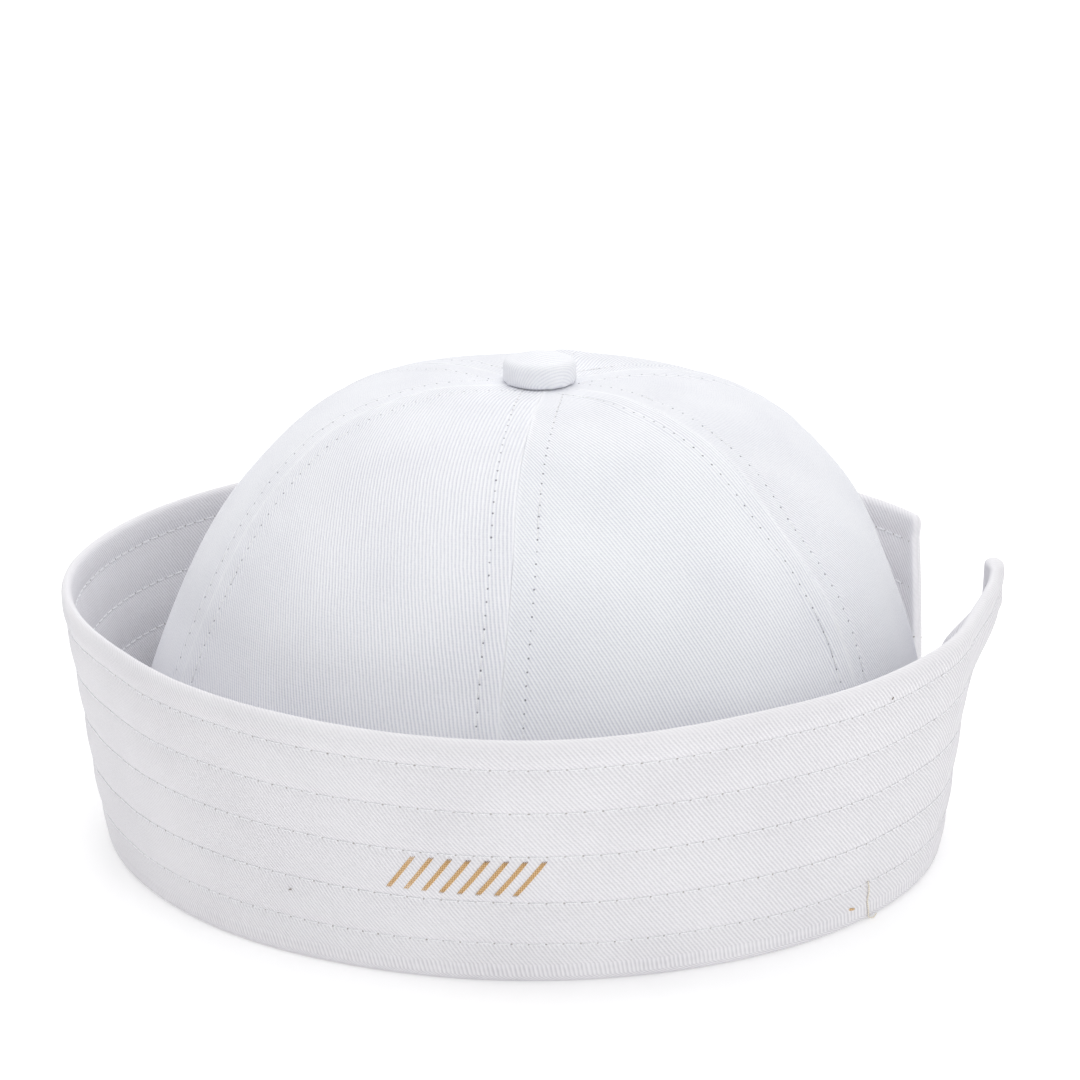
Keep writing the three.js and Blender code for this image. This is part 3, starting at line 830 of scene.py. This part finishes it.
# ---- Button ----
# The covered button where the gores meet: a hard core under a disc of the same twill, which is
# gathered underneath and sewn on through the crown.
button_radius = (button_high[0] - button_low[0]) / 2
button_centre = base_centre + Vector((top_sag, -crown_nod, button_low[2]))
button_skirt = 5.1 * mm
button_shoulder = 1.6 * mm
button_turn = math.radians(80)    # how far its disc of cloth is turned from the gores
button_wear_and_light = 0.4                 # how smooth its cloth is worn, its painted valley shade taken away by as much
pleat_depth = 0.022               # its gathered pleats, as a share of its radius
profile = [(button_radius - 1.2 * mm, -0.5 * mm), (button_radius - 0.3 * mm, 0.0), (button_radius, 0.6 * mm)]
profile += [(button_radius, z * mm) for z in (1.3, 1.9, 2.5, 3.1)]
for k in range(7):
    turn = math.pi / 2 * k / 6
    profile.append((button_radius - button_shoulder + button_shoulder * math.cos(turn),
                    button_skirt - button_shoulder + button_shoulder * math.sin(turn)))
profile += [(button_radius * share, button_skirt + rise * mm)
            for share, rise in ((0.66, 0.33), (0.5, 0.7), (0.33, 1.1), (0.17, 1.36), (0, 1.44))]
bm = bmesh.new()
line = [bm.verts.new((radius, 0, height)) for radius, height in profile]
for low, high in zip(line, line[1:]):
    bm.edges.new((low, high))
bmesh.ops.spin(bm, geom=bm.verts[:] + bm.edges[:], cent=(0, 0, 0), axis=(0, 0, 1),
               angle=2 * math.pi, steps=96, use_merge=True)
bmesh.ops.remove_doubles(bm, verts=bm.verts, dist=0.001 * mm)
bmesh.ops.holes_fill(bm, edges=[edge for edge in bm.edges if edge.is_boundary])
bmesh.ops.recalc_face_normals(bm, faces=bm.faces)
weave_layer = bm.verts.layers.float_vector.new("weave")
seam_layer = bm.verts.layers.float_vector.new("seam")
for vert in bm.verts:
    radius = math.hypot(vert.co.x, vert.co.y)
    turn = math.atan2(vert.co.y, vert.co.x)
    unrolled = radius + max(0, button_skirt - vert.co.z) if radius > button_radius * 0.8 else radius
    vert[weave_layer] = (unrolled * math.cos(turn + button_turn), unrolled * math.sin(turn + button_turn), 0)
    vert[seam_layer] = (1, 1, button_wear_and_light)     # far from any stitched row, so no needle holes
    gather = smoothstep(button_skirt - vert.co.z, 0.5 * mm, 4.5 * mm)
    pleat = float(softness(np.array(turn * 8 * mm), np.array(vert.co.z * 0.8), 77, 3.4 * mm))
    swell = 1 + float(gather) * pleat_depth * pleat
    vert.co = Vector((vert.co.x * swell, vert.co.y * swell, vert.co.z)) + button_centre
mesh = bpy.data.meshes.new("covered_button")
bm.to_mesh(mesh)
bm.free()
covered_button = finish_object("covered_button", mesh, gore_twill)
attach(covered_button, "root")
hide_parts("top_button")

# ---- Embroidery ----
# A plain border in tan rayon satin stitch, low on the front of the cuff: eight slanted pads side by
# side, each of three strands sewn down through the cloth at both ends.
# Its two colours are painted shade in the grooves between the plies and a painted highlight on their crowns.
tan_thread, tan_tree, tan_shader, tan_place, tan_tone = spun_thread(
    "tan rayon embroidery thread", "#b98a50", "#eccb98", lay=0.55 * mm, turn=28,
    roughness=0.42, gloss=0.5)
# The strands' ends are painted darker where they dive into the cloth: painted shade.
tan_split = add_node(tan_tree, "ShaderNodeSeparateXYZ", Vector=tan_place)
tan_reach = add_node(tan_tree, "ShaderNodeMath", {"operation": "ABSOLUTE"}, in0=tan_split.outputs["X"])
tan_end_shade_mask = add_node(tan_tree, "ShaderNodeMapRange", {"interpolation_type": "SMOOTHSTEP"},
                    Value=tan_reach.outputs["Value"], From_Min=4.3 * mm, From_Max=5.4 * mm)
tan_shaded_ends = add_node(tan_tree, "ShaderNodeMix", {"data_type": "RGBA"},
                    in0=tan_end_shade_mask.outputs["Result"], in6=tan_tone.outputs[2], in7=srgb("#8a6236"))
tan_tree.links.new(tan_shaded_ends.outputs[2], tan_shader.inputs["Base Color"])
tan_shader.inputs["Sheen Weight"].default_value = 0.2
motif_middle = math.radians(-7.2)
motif_low = 20.6 * mm
motif_high = 29.2 * mm
motif_length = 32 * mm
motif_pads = 8
pad_slant = 6.2 * mm
pad_strands = 3
strand_width = 0.38 * mm
places, runs, ups = [], [], []
motif_radius = cuff_foot_radius + 6 * mm
for pad in range(motif_pads):
    middle = (pad - (motif_pads - 1) / 2) * (motif_length - pad_slant) / (motif_pads - 1)
    for strand in range(pad_strands):
        shift = middle + (strand - (pad_strands - 1) / 2) * strand_width * 0.95
        heights = np.array([(motif_low + motif_high) / 2, (motif_low + motif_high) / 2 + 1 * mm])
        slope = pad_slant / (motif_high - motif_low)
        turns = motif_middle + (shift + (heights - heights[0]) * slope) / motif_radius
        relief = np.zeros(2)
        here, ahead = wall_point(turns, heights, relief)
        out = wall_point(turns, heights, relief - 1 * mm)[0] - here
        run = ahead - here
        places.append(here)
        runs.append(unit(run))
        ups.append(unit(out))
places, runs, ups = np.array(places), np.array(runs), np.array(ups)
strand_length = math.hypot(motif_high - motif_low, pad_slant)
mesh = thread_bits("rope_twist_embroidery", strand_length, strand_width, 0.5 * mm,
                   places + ups * 0.1 * mm, runs, ups, bow=0.2 * mm)
embroidery = finish_object("rope_twist_embroidery", mesh, tan_thread)
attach(embroidery, "root")

# ---- Loose threads ----
# A cut end of cream thread hangs from the lower fold, and a tan clipping of the embroidery
# thread and a few flecks of lint cling to the cloth.
loose_end = [(46.2, 9.9, 0.25), (46.5, 7.6, 0.5), (46.6, 5.2, 0.3), (47.0, 2.9, 0.45), (47.5, 0.9, 0.3),
             (48.4, 0.5, 0.5), (49.1, 0.9, 0.4)]     # azimuth (degrees), then distance up and lift (mm)
loose_radius = 0.16 * mm
loose_points = [Vector(wall_point(np.array(math.radians(turn)), np.array(up * mm), np.array(-lift * mm)))
                for turn, up, lift in loose_end]
thread_line, thread_along = curve_through(loose_points, 8)
bm = bmesh.new()
strand_layer = bm.verts.layers.float_vector.new("strand")
thread_rings = []
for k, place in enumerate(thread_line):
    ahead = Vector(thread_line[min(k + 1, len(thread_line) - 1)] - thread_line[max(k - 1, 0)])
    ring = bmesh.ops.create_circle(bm, segments=7, radius=loose_radius)["verts"]
    heading = ahead.to_track_quat("Z", "Y").to_matrix().to_4x4()
    bmesh.ops.transform(bm, verts=ring, matrix=Matrix.Translation(place) @ heading)
    thread_rings.append(ring)
for low, high in zip(thread_rings, thread_rings[1:]):
    loops = [[e for v in ring for e in v.link_edges if e.other_vert(v) in ring] for ring in (low, high)]
    bmesh.ops.bridge_loops(bm, edges=list({edge for loop in loops for edge in loop}))
bmesh.ops.holes_fill(bm, edges=[edge for edge in bm.edges if edge.is_boundary])
bmesh.ops.recalc_face_normals(bm, faces=bm.faces)
for ring, run in zip(thread_rings, thread_along):
    for k, vert in enumerate(ring):
        vert[strand_layer] = (run, loose_radius * 2 * k / len(ring), 0)
mesh = bpy.data.meshes.new("loose_thread_end")
bm.to_mesh(mesh)
bm.free()
# Cream cotton thread: duller and warmer than the white.
cream_thread = spun_thread("cream cotton thread", "#ddd4c4", "#f3eee3", lay=0.4 * mm, turn=35,
                           roughness=0.8, gloss=0.2)[0]
loose_thread = finish_object("loose_thread_end", mesh, cream_thread)
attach(loose_thread, "root")

# Grey-brown lint: a dull matt fibre.
lint_fibre, lint_tree, lint_shader = new_material("grey-brown lint")
lint_place = add_node(lint_tree, "ShaderNodeAttribute", {"attribute_name": "strand"}).outputs["Vector"]
lint_fleck = add_node(lint_tree, "ShaderNodeTexNoise", Vector=lint_place, Scale=1 / (0.2 * mm), Detail=2.0)
lint_tone = add_node(lint_tree, "ShaderNodeMix", {"data_type": "RGBA"},
                     in0=lint_fleck.outputs["Fac"], in6=srgb("#7f7a76"), in7=srgb("#b5aea8"))
lint_tree.links.new(lint_tone.outputs[2], lint_shader.inputs["Base Color"])
lint_shader.inputs["Roughness"].default_value = 0.9
clippings = [  # name, material, azimuth (degrees), distance up, length and width (mm), slant (degrees)
    ("tan_thread_clipping", tan_thread, 43.5, 4.7, 2.0, 0.55, -14),
    ("lint_fleck_high", lint_fibre, 46.3, 51.4, 0.7, 0.3, 50),
    ("lint_fleck_low", lint_fibre, -29.0, 16.0, 0.8, 0.3, 20),
]
for name, material, turn, up_wall, length, width, slant in clippings:
    turns = np.radians(turn) + np.array([0, 1 * mm, 0]) * math.cos(math.radians(slant)) / cuff_foot_radius
    heights = up_wall * mm + np.array([0, 1 * mm, 0]) * math.sin(math.radians(slant))
    here, ahead, out = wall_point(turns, heights, np.array([0, 0, -1 * mm]))
    mesh = thread_bits(name, length * mm, width * mm, 0.3 * mm, here[None] + 0.25 * (out - here),
                       (ahead - here)[None] / mm, (out - here)[None] / mm, bow=0)
    fleck = finish_object(name, mesh, material)
    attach(fleck, "root")
